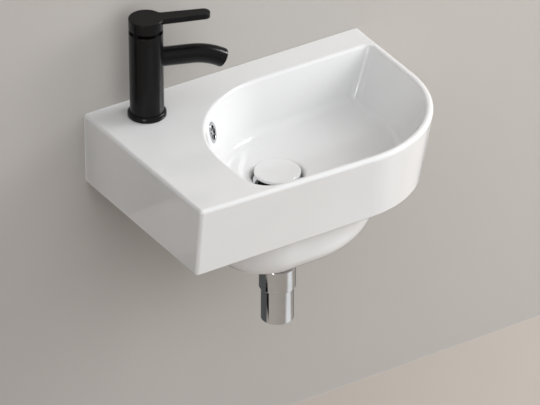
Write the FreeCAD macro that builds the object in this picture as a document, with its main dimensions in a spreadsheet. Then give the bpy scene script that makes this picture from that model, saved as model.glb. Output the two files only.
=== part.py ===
import FreeCAD, Part
import Sketcher
import math
import os
import re

# Wall-hung cloakroom basin with a single-lever tap and a click waste, in millimetres.
# Origin: midway between the two wall-fixing holes, on the wall face. +X right, +Y into the wall, +Z up.

doc = FreeCAD.newDocument("basin")
Vector = FreeCAD.Vector

# Driving dimensions, one group for each set of pieces
basin_sizes = {
    "width": 420,
    "depth_left": 283,
    "depth_right": 298.5,
    "apron_height": 101,
    "front_fall_left": 13,
    "front_fall_right": 27,
    "side_fall": 12.5,
    "right_taper": 9.5,
    "low_corner_radius": 139,
    "left_edge_radius": 5,
    "rim_edge_radius": 4.5,
    "foot_edge_radius": 3.5,
    "apron_wall": 11,
    "back_wall": 12,
    "deck_thickness": 14,
    "fixing_drop": 58,
    "fixing_spacing": 200,
    "fixing_hole_radius": 8,
    "bush_bore_radius": 5.25,
    "bush_flange_radius": 12,
    "bush_flange_thickness": 2,
    "bush_clearance": 0.1,
    "overrun": 5,
    "edge_match": 0.05,
}
bowl_sizes = {
    "bowl_back": 44.5,
    "ledge_width": 88,
    "rim_width": 10,
    "bowl_depth": 75,
    "bowl_back_left_radius": 150,
    "bowl_front_left_radius": 35,
    "bowl_front_right_radius": 149,
    "bowl_back_right_radius": 8,
    "floor_left_inset": 27,
    "floor_front_inset": 30,
    "floor_right_inset": 32,
    "floor_back_inset": 12.5,
    "floor_back_left_radius": 125,
    "floor_front_left_radius": 45,
    "floor_front_right_radius": 126,
    "floor_back_right_radius": 15,
    "floor_edge_radius": 14,
    "floor_tilt_degrees": 1.6,
    "bowl_shell": 10,
    "inner_rim_radius": 4.5,
}
hull_sizes = {
    "hull_overhang": 2,
    "hull_right": 144,
    "hull_front": 249.5,
    "hull_back": 55,
    "hull_depth": 170,
    "hull_back_left_radius": 45,
    "hull_front_left_radius": 70,
    "hull_front_right_radius": 155.5,
    "hull_back_right_radius": 36,
    "hull_edge_radius": 34,
    "hull_wall": 10,
}
overflow_sizes = {
    "overflow_turn_degrees": 136.2,
    "overflow_drop": 24.5,
    "overflow_hole_radius": 11.5,
    "overflow_seat_depth": 2,
    "overflow_ring_radius": 14,
    "overflow_lip": 2.6,
    "overflow_barrel": 12,
    "overflow_bore_radius": 9.6,
    "overflow_edge_radius": 0.9,
    "overflow_clearance": 0.2,
    "spoke_width": 2,
    "spoke_thickness": 2.4,
    "spoke_hub_radius": 3,
}
waste_sizes = {
    "drain_x": -15,
    "drain_y": -153,
    "recess_radius": 33,
    "recess_depth": 12,
    "recess_edge_radius": 6,
    "drain_bore_radius": 23,
    "seat_boss_radius": 48,
    "seat_thickness": 14,
    "flange_seal_thickness": 2,
    "flange_radius": 32,
    "flange_thickness": 2.5,
    "flange_edge_radius": 0.8,
    "mouth_radius": 21.5,
    "barrel_radius": 21,
    "barrel_bore_radius": 19,
    "thread_clearance": 0.1,
    "spider_depth": 15,
    "spider_height": 7,
    "spider_arm_width": 4,
    "spider_hub_radius": 11.5,
    "slot_width": 14,
    "slot_top": 28,
    "slot_height": 34,
    "lower_seal_thickness": 6,
    "lower_seal_radius": 33,
    "lower_seal_taper": 4,
    "friction_washer_thickness": 2,
    "backnut_height": 12,
    "backnut_corner_radius": 32,
    "backnut_washer_radius": 33,
    "backnut_washer_height": 3,
    "collar_drop": 20.8,
    "collar_radius": 24.25,
    "collar_height": 32.2,
    "collar_lip": 3,
    "collar_edge": 1.2,
    "tail_flange_height": 3,
    "tail_flange_radius": 23,
    "tail_seal_thickness": 3,
    "tail_clearance": 0.2,
    "tail_radius": 21.75,
    "tail_neck_inset": 0.3,
    "tail_shoulder_drop": 0.5,
    "tail_bore_radius": 19.5,
    "tail_reach": 48.5,
    "tail_round": 1,
}
plug_sizes = {
    "cap_radius": 30.25,
    "cap_thickness": 5,
    "cap_edge_radius": 1.6,
    "cap_crown": 0.8,
    "plug_travel": 7,
    "plug_clearance": 0.3,
    "plug_seal_radius": 25,
    "plug_seal_thickness": 2,
    "holder_radius": 10,
    "holder_flange_radius": 14,
    "holder_flange_height": 2,
    "holder_boss_radius": 6.5,
    "holder_boss_height": 6,
    "plunger_radius": 5,
    "plunger_tip_radius": 3,
    "plunger_tip": 10,
    "plunger_length": 22,
    "plunger_clearance": 0.3,
    "housing_radius": 8,
    "housing_flange_height": 3,
    "housing_length": 38,
    "housing_end": 2,
    "spring_wire_radius": 0.5,
    "spring_inset": 1.2,
    "spring_turns": 6,
}
tap_sizes = {
    "tap_from_left": 68,
    "tap_y": -43.4,
    "tap_hole_radius": 17.5,
    "spout_turn_degrees": 20,
    "base_gasket_thickness": 1,
    "base_gasket_inset": 1,
    "base_ring_radius": 25.1,
    "base_ring_height": 7,
    "base_ring_bore": 17.2,
    "base_ring_round": 4,
    "tap_radius": 22,
    "body_height": 113.4,
    "body_edge": 0.4,
    "rim_bore_radius": 21,
    "rim_bore_depth": 6.4,
    "inlet_radius": 5,
    "inlet_depth": 15,
    "inlet_offset": 6,
    "inlet_half_spacing": 8,
    "riser_radius": 4.5,
    "port_depth": 5,
    "port_radius": 3,
    "outlet_offset": 4.4,
    "outlet_radius": 5,
    "stud_radius": 4,
    "stud_offset": 9,
    "stud_grip": 11,
    "stud_drop": 72,
    "horseshoe_radius": 25,
    "horseshoe_gasket_thickness": 3,
    "horseshoe_plate_thickness": 3,
    "horseshoe_mouth": 30,
    "horseshoe_root": 2,
    "stud_nut_height": 6.5,
    "stud_nut_corner_radius": 7.5,
}
spout_sizes = {
    "spout_height": 82.3,
    "spout_radius": 12.5,
    "spout_wall": 1.8,
    "spout_socket": 8,
    "spout_run": 57.5,
    "spout_bend_radius": 82,
    "spout_bend_degrees": 30,
    "aerator_bore_radius": 11.3,
    "aerator_depth": 9,
    "aerator_lip": 1.6,
    "aerator_lip_radius": 11.9,
    "aerator_wall": 1.6,
    "aerator_insert_thickness": 5,
    "aerator_inset": 0.8,
    "aerator_step": 0.6,
    "aerator_hole_radius": 0.9,
    "aerator_hole_pitch": 2.9,
    "aerator_washer_thickness": 1.6,
}
cartridge_sizes = {
    "nut_bore_radius": 19.5,
    "nut_height": 4,
    "nut_opening_radius": 12.5,
    "cartridge_radius": 17.5,
    "cartridge_height": 16,
    "cartridge_clearance": 0.1,
    "housing_floor": 3,
    "housing_wall": 2.5,
    "housing_roof": 2,
    "fixed_disc_radius": 14.8,
    "fixed_disc_thickness": 2.5,
    "moving_disc_radius": 10,
    "moving_disc_thickness": 2,
    "disc_start": 4.36,
    "carrier_thickness": 4.2,
    "running_gap": 0.2,
    "port_seal_radius": 4.4,
    "port_seal_height": 1.2,
    "turret_radius": 14.6,
    "turret_neck_radius": 10.5,
    "neck_rise": 0.6,
    "ear_half_width": 4,
    "ear_reach": 7.5,
    "slot_clearance": 0.3,
    "slot_reach": 11.5,
    "pin_radius": 2,
    "pin_clearance": 0.05,
    "stem_half_depth": 4,
    "stem_half_width": 2.5,
    "stem_foot_drop": 6.4,
    "stem_rod_radius": 2.2,
    "stem_ball_radius": 2.2,
    "stem_ball_rise": 2.4,
    "ball_clearance": 0.4,
}
handle_sizes = {
    "cap_gap": 3,
    "cap_height": 16.6,
    "skirt": 2.5,
    "skirt_chamfer": 1.8,
    "plate_thickness": 5.2,
    "arm_thickness": 6.7,
    "handle_edge_radius": 1.2,
    "pivot_rise": 6,
    "arm_reach": 83,
    "arm_root_width": 22,
    "arm_tip_width": 17.5,
    "arm_fillet": 6,
    "socket_depth": 3.4,
    "handle_screw_radius": 2,
    "handle_screw_length": 8,
    "screw_plug_length": 2.4,
    "screw_plug_inset": 0.6,
}

sizes = doc.addObject("Spreadsheet::Sheet", "sizes")
size_names = []
for table in (basin_sizes, bowl_sizes, hull_sizes, overflow_sizes, waste_sizes, plug_sizes,
              tap_sizes, spout_sizes, cartridge_sizes, handle_sizes):
    for name, number in table.items():
        size_names.append(name)
        cell = "B%d" % len(size_names)
        sizes.set("A%d" % len(size_names), name)
        sizes.set(cell, str(number))
        sizes.setAlias(cell, name)

# Levels worked out from the sizes: the waste's are below the rim, the tap's above the deck
level_formulas = {
    "front_corner_radius": "bowl_front_right_radius + rim_width",
    "tap_x": "tap_from_left - width / 2",
    "bowl_left": "width / 2 - ledge_width",
    "hull_left": "bowl_left + hull_overhang",
    "recess_floor": "bowl_depth + recess_depth",
    "seat_under": "recess_floor + seat_thickness",
    "flange_under": "recess_floor - flange_seal_thickness",
    "flange_top": "flange_under - flange_thickness",
    "spider_top": "flange_top + spider_depth",
    "spider_under": "spider_top + spider_height",
    "slots_top": "flange_top + slot_top",
    "slots_under": "slots_top + slot_height",
    "friction_top": "hull_depth + lower_seal_thickness",
    "backnut_top": "friction_top + friction_washer_thickness",
    "backnut_under": "backnut_top + backnut_height",
    "collar_top": "backnut_under + collar_drop",
    "collar_under": "collar_top + collar_height",
    "lip_top": "collar_under - collar_lip",
    "tail_flange_top": "lip_top - tail_flange_height",
    "barrel_end": "tail_flange_top - tail_seal_thickness",
    "tail_shoulder": "collar_under + tail_shoulder_drop",
    "tail_end": "collar_under + tail_reach",
    "cap_under": "flange_top - plug_travel - plug_clearance - plug_seal_thickness",
    "cap_crest": "cap_under - cap_thickness",
    "plug_seal_under": "cap_under + plug_seal_thickness",
    "holder_flange_under": "plug_seal_under + holder_flange_height",
    "holder_under": "holder_flange_under + holder_boss_height",
    "plunger_tip_top": "holder_under - plunger_tip / 2",
    "plunger_shoulder": "holder_under",
    "plunger_under": "plunger_shoulder + plunger_length",
    "housing_top": "spider_top - housing_flange_height",
    "housing_under": "housing_top + housing_length",
    "housing_inside": "housing_under - housing_end",
    "body_foot": "base_gasket_thickness + base_ring_height",
    "body_top": "body_foot + body_height",
    "nut_top": "body_top - rim_bore_depth",
    "nut_foot": "nut_top - nut_height",
    "cartridge_foot": "nut_foot - cartridge_height",
    "fixed_disc_foot": "cartridge_foot + housing_floor",
    "moving_disc_foot": "fixed_disc_foot + fixed_disc_thickness",
    "carrier_foot": "moving_disc_foot + moving_disc_thickness",
    "carrier_top": "carrier_foot + carrier_thickness",
    "turret_foot": "carrier_top + running_gap",
    "roof_foot": "nut_foot - housing_roof",
    "turret_shoulder": "roof_foot - running_gap",
    "neck_top": "body_top + neck_rise",
    "ball_height": "carrier_foot + stem_ball_rise",
    "cap_foot": "body_top + cap_gap",
    "cap_top": "cap_foot + cap_height",
    "plate_foot": "cap_top - plate_thickness",
    "pivot_height": "cap_foot + pivot_rise",
    "stem_foot": "pivot_height - stem_foot_drop",
    "stem_top": "plate_foot + socket_depth",
    "screw_height": "plate_foot + plate_thickness / 2",
}
levels = doc.addObject("Spreadsheet::Sheet", "levels")


def bound(text):
    def sheet_of(word):
        name = word.group(0)
        return ("levels." if name in level_formulas else "sizes.") + name
    return re.sub(r"[a-z][a-z_]*", sheet_of, text)


for row, (name, formula) in enumerate(level_formulas.items(), start=1):
    levels.set("A%d" % row, name)
    levels.set("B%d" % row, "=" + bound(formula))
    levels.setAlias("B%d" % row, name)
doc.recompute()


class Sizes:
    pass


s = Sizes()
for name in size_names:
    setattr(s, name, float(sizes.get(name)))
for name in level_formulas:
    setattr(s, name, float(levels.get(name)))

nodes = {}
tap_frame = FreeCAD.Placement(Vector(s.tap_x, s.tap_y, s.fixing_drop),
                              FreeCAD.Rotation(Vector(0, 0, 1), -s.spout_turn_degrees))
waste_frame = FreeCAD.Placement(Vector(s.drain_x, s.drain_y, s.fixing_drop), FreeCAD.Rotation())
frame_origins = [
    (tap_frame, ("tap_x", "tap_y", "fixing_drop")),
    (waste_frame, ("drain_x", "drain_y", "fixing_drop")),
]


# Helpers that bind sizes to the sheet

def keep(node, piece, frame=None):
    # Names a finished piece and puts it in its frame, with the frame's origin bound to the sheet
    piece.Label = node
    nodes[node] = piece
    if frame:
        piece.Placement = frame
    for known, origin in frame_origins:
        if frame is known:
            for axis, size in zip("xyz", origin):
                piece.setExpression("Placement.Base." + axis, bound(size))


def bind(piece, settings):
    for prop, size in settings.items():
        if size != "0":
            piece.setExpression(prop, bound(size))
    return piece


def cylinder(name, radius, height, x="0", y="0", z="0", along=None):
    piece = doc.addObject("Part::Cylinder", name)
    if along:
        piece.Placement.Rotation = FreeCAD.Rotation(Vector(0, 0, 1), along)
    return bind(piece, {"Radius": radius, "Height": height, "Placement.Base.x": x,
                        "Placement.Base.y": y, "Placement.Base.z": z})


def box(name, length, width, height, x="0", y="0", z="0"):
    piece = doc.addObject("Part::Box", name)
    return bind(piece, {"Length": length, "Width": width, "Height": height, "Placement.Base.x": x,
                        "Placement.Base.y": y, "Placement.Base.z": z})


def hexagon(name, corner_radius, height, x="0", z="0"):
    piece = doc.addObject("Part::Prism", name)
    piece.Polygon = 6
    return bind(piece, {"Circumradius": corner_radius, "Height": height,
                        "Placement.Base.x": x, "Placement.Base.z": z})


def joined(name, *pieces):
    union = doc.addObject("Part::MultiFuse", name)
    union.Shapes = list(pieces)
    return union


def cut(name, base, *tools):
    result = doc.addObject("Part::Cut", name)
    result.Base = base
    result.Tool = tools[0] if len(tools) == 1 else joined(name + "_tools", *tools)
    return result


def group(name, *pieces):
    result = doc.addObject("Part::Compound", name)
    result.Links = list(pieces)
    return result


def turned(name, profile, rounds=None):
    # A lathe piece: each corner of the profile is (radius, height), bound to the sheet
    body = doc.addObject("PartDesign::Body", name)
    plane = [item for item in body.Origin.OriginFeatures if item.Role == "XZ_Plane"][0]
    sketch = body.newObject("Sketcher::SketchObject", name + "_profile")
    sketch.AttachmentSupport = [(plane, "")]
    sketch.MapMode = "FlatFace"
    count = len(profile)
    turns = [2 * math.pi * i / count for i in range(count)]
    start = [Vector(2 + math.cos(turn), math.sin(turn), 0) * s.overrun for turn in turns]
    for i in range(count):
        sketch.addGeometry(Part.LineSegment(start[i], start[(i + 1) % count]), False)
    for i in range(count):
        sketch.addConstraint(Sketcher.Constraint("Coincident", i - 1 if i else count - 1, 2, i, 1))
    for i, (radius, height) in enumerate(profile):
        for kind, axis, size, guess in (("DistanceX", -2, radius, start[i].x),
                                        ("DistanceY", -1, height, start[i].y)):
            if size == "0":
                sketch.addConstraint(Sketcher.Constraint("PointOnObject", i, 1, axis))
                continue
            index = sketch.addConstraint(Sketcher.Constraint(kind, -1, 1, i, 1, guess))
            sketch.setExpression("Constraints[%d]" % index, bound(size))
    turn = body.newObject("PartDesign::Revolution", name + "_turn")
    turn.Profile = sketch
    turn.ReferenceAxis = (sketch, ["V_Axis"])
    turn.Angle = 360
    doc.recompute()
    last = turn
    for corner, radius in (rounds or {}).items():
        point = sketch.Geometry[corner].StartPoint
        edges = []
        for number, edge in enumerate(last.Shape.Edges, start=1):
            curve = edge.Curve
            if not isinstance(curve, Part.Circle) or abs(curve.Axis.z) < 0.5:
                continue
            level = body.Placement.inverse().multVec(curve.Center).z
            if abs(curve.Radius - point.x) < s.edge_match and abs(level - point.y) < s.edge_match:
                edges.append("Edge%d" % number)
        fillet = body.newObject("PartDesign::Fillet", "%s_round%d" % (name, corner))
        fillet.Base = (last, edges)
        fillet.setExpression("Radius", bound(radius))
        doc.recompute()
        last = fillet
    body.Tip = last
    return body


def tube(name, bore, radius, foot, top, rounds=None):
    return turned(name, [(bore, foot), (radius, foot), (radius, top), (bore, top)], rounds)


def feature(node, shape, frame=None):
    piece = doc.addObject("Part::Feature", node)
    piece.Shape = shape
    keep(node, piece, frame)


# Outlines: polygons with rounded corners, given as corner points from the back left round to the back right

straight_share = 0.005


def rounded_wire(points, radii, height):
    # Where two corners' arcs are too long for the side between them, both shrink and leave a short straight
    edges = []
    ends = []
    count = len(points)
    corners = []
    for i, radius in enumerate(radii):
        here = Vector(points[i].x, points[i].y, height)
        before = Vector(points[i - 1].x, points[i - 1].y, height) - here
        after = Vector(points[(i + 1) % count].x, points[(i + 1) % count].y, height) - here
        half = before.getAngle(after) / 2
        corners.append((here, before.normalize(), after, half, radius / math.tan(half)))
    shrink = [1] * count
    for i, (here, before, after, half, run) in enumerate(corners):
        following = (i + 1) % count
        runs = run + corners[following][4]
        if runs > after.Length * (1 - straight_share):
            fit = after.Length * (1 - straight_share) / runs
            shrink[i] = min(shrink[i], fit)
            shrink[following] = min(shrink[following], fit)
    for i, (here, before, after, half, run) in enumerate(corners):
        if not run:
            ends.append((here, here, None))
            continue
        after.normalize()
        inward = before + after
        inward.normalize()
        radius = radii[i] * shrink[i]
        middle = here + inward * (radius / math.sin(half) - radius)
        ends.append((here + before * run * shrink[i], here + after * run * shrink[i], middle))
    for i, (start, end, middle) in enumerate(ends):
        if middle:
            edges.append(Part.Arc(start, middle, end).toShape())
        edges.append(Part.LineSegment(end, ends[(i + 1) % count][0]).toShape())
    return Part.Wire(edges)


def inset(points, distances):
    # Side i runs from corner i to the next one, and moves inwards by its own distance
    count = len(points)
    sides = []
    for i in range(count):
        along = points[(i + 1) % count] - points[i]
        along.normalize()
        sides.append((points[i] + Vector(-along.y, along.x, 0) * distances[i], along))
    result = []
    for i in range(count):
        (a, u), (b, v) = sides[i - 1], sides[i]
        reach = ((b.x - a.x) * v.y - (b.y - a.y) * v.x) / (u.x * v.y - u.y * v.x)
        result.append(a + u * reach)
    return result


def between(first, second, share):
    return [a + (b - a) * share for a, b in zip(first, second)]


def loft(*wires):
    return Part.makeLoft(list(wires), True, True)


def edges_at(shape, height):
    near = s.edge_match
    return [edge for edge in shape.Edges
            if abs(edge.BoundBox.ZMin - height) < near and abs(edge.BoundBox.ZMax - height) < near]


rim = s.fixing_drop
half_width = s.width / 2
top_points = [Vector(-half_width, 0, 0), Vector(-half_width, -s.depth_left, 0),
              Vector(half_width - s.right_taper, -s.depth_right, 0), Vector(half_width, 0, 0)]
low_points = [Vector(-half_width, 0, 0), Vector(-half_width, -s.depth_left + s.front_fall_left, 0),
              Vector(half_width - s.right_taper - s.side_fall, -s.depth_right + s.front_fall_right, 0),
              Vector(half_width - s.side_fall, 0, 0)]
top_radii = [0, s.left_edge_radius, s.front_corner_radius, 0]
low_radii = [0, s.left_edge_radius, s.low_corner_radius, 0]
bowl_points = inset(top_points, [half_width - s.bowl_left, s.rim_width, s.rim_width, s.bowl_back])
bowl_radii = [s.bowl_back_left_radius, s.bowl_front_left_radius, s.bowl_front_right_radius,
              s.bowl_back_right_radius]
floor_points = inset(bowl_points, [s.floor_left_inset, s.floor_front_inset, s.floor_right_inset,
                                   s.floor_back_inset])
floor_radii = [s.floor_back_left_radius, s.floor_front_left_radius, s.floor_front_right_radius,
               s.floor_back_right_radius]
hull_points = [Vector(-s.hull_left, -s.hull_back, 0), Vector(-s.hull_left, -s.hull_front, 0),
               Vector(s.hull_right, -s.hull_front, 0), Vector(s.hull_right, -s.hull_back, 0)]
hull_radii = [s.hull_back_left_radius, s.hull_front_left_radius, s.hull_front_right_radius,
              s.hull_back_right_radius]


def apron_section(drop, wall):
    # The outline at a depth below the rim, moved in by the wall. The outside runs on past the wall face
    share = drop / s.apron_height
    back = s.back_wall if wall else -s.overrun
    points = inset(between(top_points, low_points, share), [wall, wall, wall, back])
    radii = [a + (b - a) * share - wall if a else 0 for a, b in zip(top_radii, low_radii)]
    return rounded_wire(points, [max(radius, 0) for radius in radii], rim - drop)


def tub(grow, top_drop):
    # The bowl's own form, or its outer skin where it grows by the shell
    outward = [-grow] * len(bowl_points)
    opening = inset(bowl_points, outward)
    floor = inset(floor_points, outward)
    share = top_drop / s.bowl_depth
    drop = s.bowl_depth + grow
    upper = rounded_wire(between(opening, floor, share), [a + grow for a in bowl_radii], rim - top_drop)
    lower = rounded_wire(floor, [a + grow for a in floor_radii], rim - drop)
    lower.rotate(Vector(s.drain_x, s.drain_y, rim - drop), Vector(0, 1, 0), -s.floor_tilt_degrees)
    solid = loft(upper, lower)
    floor_face = min(solid.Faces, key=lambda face: face.CenterOfMass.z)
    return solid.makeFillet(s.floor_edge_radius + grow, floor_face.Edges)


def hull(wall, top_drop):
    points = inset(hull_points, [wall] * len(hull_points))
    wire = rounded_wire(points, [radius - wall for radius in hull_radii], rim - s.hull_depth + wall)
    solid = Part.Face(wire).extrude(Vector(0, 0, s.hull_depth - wall - top_drop))
    return solid.makeFillet(s.hull_edge_radius - wall, edges_at(solid, rim - s.hull_depth + wall))


def drain_cylinder(radius, top_drop, under_drop):
    return Part.makeCylinder(radius, under_drop - top_drop, Vector(s.drain_x, s.drain_y, rim - under_drop))


def overflow_place():
    # A frame on the bowl's wall: its Z axis points out of the wall into the bowl
    turn = math.radians(s.overflow_turn_degrees)
    outward = Vector(math.cos(turn), math.sin(turn), 0)

    def on_arc(points, radius):
        return points[0] + Vector(radius, -radius, 0) + outward * radius

    opening = on_arc(bowl_points, s.bowl_back_left_radius)
    floor = on_arc(floor_points, s.floor_back_left_radius) - Vector(0, 0, s.bowl_depth)
    spot = opening + (floor - opening) * (s.overflow_drop / s.bowl_depth) + Vector(0, 0, rim)
    slope = math.atan2((opening - floor).dot(outward), s.bowl_depth)
    normal = Vector(-outward.x * math.cos(slope), -outward.y * math.cos(slope), math.sin(slope))
    spin = FreeCAD.Rotation(Vector(0, 0, 1), normal)
    return FreeCAD.Placement(spot - normal * s.overflow_seat_depth, spin)


overflow_frame = overflow_place()


def mouth_miss(edge, drain):
    # How far a closed edge is from the mouth of the drain's recess
    box = edge.BoundBox
    return (box.Center - drain).Length + abs(box.YLength / 2 - s.recess_radius)


def basin_shape():
    outer = loft(apron_section(0, 0), apron_section(s.apron_height, 0))
    behind_wall = Part.makeBox(2 * s.width, 2 * s.overrun, 2 * s.apron_height,
                               Vector(-s.width, 0, rim - 2 * s.apron_height + s.overrun))
    outer = outer.cut(behind_wall)
    for height, radius in ((rim, s.rim_edge_radius), (rim - s.apron_height, s.foot_edge_radius)):
        off_wall = [edge for edge in edges_at(outer, height) if edge.BoundBox.YMin < -s.edge_match]
        outer = outer.makeFillet(radius, off_wall)
    skin = tub(s.bowl_shell, 0)
    boss = drain_cylinder(s.seat_boss_radius, s.bowl_depth, s.seat_under)
    skirt = hull(0, s.deck_thickness)
    pocket = loft(apron_section(s.deck_thickness, s.apron_wall),
                  apron_section(s.apron_height + s.overrun, s.apron_wall))
    pocket = pocket.cut([skin, boss, skirt])
    chamber = hull(s.hull_wall, s.deck_thickness).cut([skin, boss])
    body = outer.cut(pocket).fuse(skirt)
    holes = [tub(0, -s.overrun), chamber]
    holes.append(drain_cylinder(s.recess_radius, s.bowl_depth - s.overrun, s.recess_floor))
    holes.append(drain_cylinder(s.drain_bore_radius, s.bowl_depth, s.hull_depth + s.overrun))
    tap_spot = Vector(s.tap_x, s.tap_y, rim - s.deck_thickness - s.overrun)
    holes.append(Part.makeCylinder(s.tap_hole_radius, s.deck_thickness + 2 * s.overrun, tap_spot))
    reach = s.overflow_barrel + s.overrun
    overflow = Part.makeCylinder(s.overflow_hole_radius, reach + s.overrun, Vector(0, 0, -reach))
    seat_radius = s.overflow_ring_radius + s.overflow_clearance
    for round_hole in (overflow, Part.makeCylinder(seat_radius, s.overflow_seat_depth + s.overrun)):
        round_hole.Placement = overflow_frame
        holes.append(round_hole)
    for side in (-1, 1):
        spot = Vector(side * s.fixing_spacing / 2, s.overrun, 0)
        depth = s.back_wall + 2 * s.overrun
        holes.append(Part.makeCylinder(s.fixing_hole_radius, depth, spot, Vector(0, -1, 0)))
    body = body.cut(holes)
    opening = rounded_wire(bowl_points, bowl_radii, rim)
    edges = []
    for edge in edges_at(body, rim):
        middle = edge.valueAt((edge.FirstParameter + edge.LastParameter) / 2)
        if opening.distToShape(Part.Vertex(middle))[0] < s.edge_match:
            edges.append(edge)
    body = body.makeFillet(s.inner_rim_radius, edges)
    drain = Vector(s.drain_x, s.drain_y, rim - s.bowl_depth)
    mouth = min((edge for edge in body.Edges if edge.Closed), key=lambda edge: mouth_miss(edge, drain))
    return body.makeFillet(s.recess_edge_radius, [mouth])


feature("basin", basin_shape())

# Wall fixing bushes, one in each hole of the back wall
bushes = []
for name, x in (("left_bush", "-fixing_spacing / 2"), ("right_bush", "fixing_spacing / 2")):
    sleeve = cylinder(name + "_sleeve", "fixing_hole_radius - bush_clearance", "back_wall", x, "-back_wall",
                      along=Vector(0, 1, 0))
    flange = cylinder(name + "_flange", "bush_flange_radius", "bush_flange_thickness", x,
                      "-back_wall - bush_flange_thickness", along=Vector(0, 1, 0))
    bore = cylinder(name + "_bore", "bush_bore_radius", "back_wall + bush_flange_thickness + 2 * overrun", x,
                    "-back_wall - bush_flange_thickness - overrun", along=Vector(0, 1, 0))
    bushes.append(cut(name, joined(name + "_blank", sleeve, flange), bore))
keep("wall_bushes", group("wall_bushes", *bushes))

# Overflow ring: a lipped barrel with six spokes across its mouth
ring = turned("overflow_blank", [
    ("overflow_bore_radius", "-overflow_barrel"),
    ("overflow_hole_radius - overflow_clearance", "-overflow_barrel"),
    ("overflow_hole_radius - overflow_clearance", "0"),
    ("overflow_ring_radius", "0"),
    ("overflow_ring_radius", "overflow_lip"),
    ("overflow_bore_radius", "overflow_lip")], {4: "overflow_edge_radius", 5: "overflow_edge_radius"})
spokes = [cylinder("spoke_hub", "spoke_hub_radius", "spoke_thickness", z="-spoke_thickness / 2")]
for number in range(3):
    spoke = box("spoke%d" % number, "2 * overflow_bore_radius + overflow_clearance", "spoke_width",
                "spoke_thickness", z="-spoke_thickness / 2")
    turn = FreeCAD.Rotation(Vector(0, 0, 1), 60 * number)
    corner = Vector(-s.overflow_bore_radius - s.overflow_clearance / 2, -s.spoke_width / 2, 0)
    corner = turn.multVec(corner)
    spoke.Placement = FreeCAD.Placement(Vector(corner.x, corner.y, -s.spoke_thickness / 2), turn)
    spokes.append(spoke)
keep("overflow_ring", joined("overflow_ring", ring, *spokes), overflow_frame)

# Waste: flanged barrel with overflow slots and a spider that carries the click housing
barrel = turned("waste_blank", [
    ("barrel_bore_radius", "-barrel_end"),
    ("barrel_radius", "-barrel_end"),
    ("barrel_radius", "-flange_under"),
    ("flange_radius", "-flange_under"),
    ("flange_radius", "-flange_top"),
    ("mouth_radius", "-flange_top"),
    ("barrel_bore_radius", "-flange_under")], {4: "flange_edge_radius"})
spider = [cylinder("spider_hub", "spider_hub_radius", "spider_height", z="-spider_under")]
slots = []
arm_length = "(2 * barrel_bore_radius + thread_clearance)"
slot_length = "(2 * flange_radius)"
for name, arm, slot in (("x", (arm_length, "spider_arm_width"), (slot_length, "slot_width")),
                        ("y", ("spider_arm_width", arm_length), ("slot_width", slot_length))):
    spider.append(box("spider_arm_" + name, *arm, "spider_height", "-%s / 2" % arm[0], "-%s / 2" % arm[1],
                      "-spider_under"))
    slots.append(box("overflow_slot_" + name, *slot, "slot_height", "-%s / 2" % slot[0], "-%s / 2" % slot[1],
                     "-slots_under"))
hub_hole = cylinder("spider_hole", "housing_radius + thread_clearance", "spider_height + 2 * overrun",
                    z="-spider_under - overrun")
keep("waste_body", cut("waste_body", joined("waste_parts", barrel, *spider), hub_hole, *slots), waste_frame)

keep("flange_seal", tube("flange_seal", "barrel_radius + thread_clearance", "flange_radius",
                         "-recess_floor", "-flange_under"), waste_frame)
keep("lower_seal", turned("lower_seal", [
    ("barrel_radius + thread_clearance", "-friction_top"),
    ("lower_seal_radius", "-friction_top"),
    ("lower_seal_radius - lower_seal_taper", "-hull_depth"),
    ("barrel_radius + thread_clearance", "-hull_depth")]), waste_frame)
keep("friction_washer", tube("friction_washer", "barrel_radius + thread_clearance", "lower_seal_radius",
                             "-backnut_top", "-friction_top"), waste_frame)
nut_blank = joined("backnut_blank",
                   hexagon("backnut_hexagon", "backnut_corner_radius", "backnut_height", z="-backnut_under"),
                   cylinder("backnut_washer", "backnut_washer_radius", "backnut_washer_height",
                            z="-backnut_top - backnut_washer_height"))
nut_bore = cylinder("backnut_bore", "barrel_radius + thread_clearance", "backnut_height + 2 * overrun",
                    z="-backnut_under - overrun")
keep("backnut", cut("backnut", nut_blank, nut_bore), waste_frame)
keep("coupling_collar", turned("coupling_collar", [
    ("tail_radius + tail_clearance", "-collar_under"),
    ("collar_radius", "-collar_under"),
    ("collar_radius", "-collar_top"),
    ("barrel_radius + thread_clearance", "-collar_top"),
    ("barrel_radius + thread_clearance", "-barrel_end"),
    ("tail_flange_radius + tail_clearance", "-barrel_end"),
    ("tail_flange_radius + tail_clearance", "-lip_top"),
    ("tail_radius + tail_clearance", "-lip_top")], {1: "collar_edge", 2: "collar_edge"}), waste_frame)
keep("tail_seal", tube("tail_seal", "tail_bore_radius", "tail_flange_radius", "-tail_flange_top",
                       "-barrel_end"), waste_frame)
keep("tailpiece", turned("tailpiece", [
    ("tail_bore_radius", "-tail_end"),
    ("tail_radius", "-tail_end"),
    ("tail_radius", "-tail_shoulder"),
    ("tail_radius - tail_neck_inset", "-tail_shoulder"),
    ("tail_radius - tail_neck_inset", "-lip_top"),
    ("tail_flange_radius", "-lip_top"),
    ("tail_flange_radius", "-tail_flange_top"),
    ("tail_bore_radius", "-tail_flange_top")], {1: "tail_round"}), waste_frame)

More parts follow.
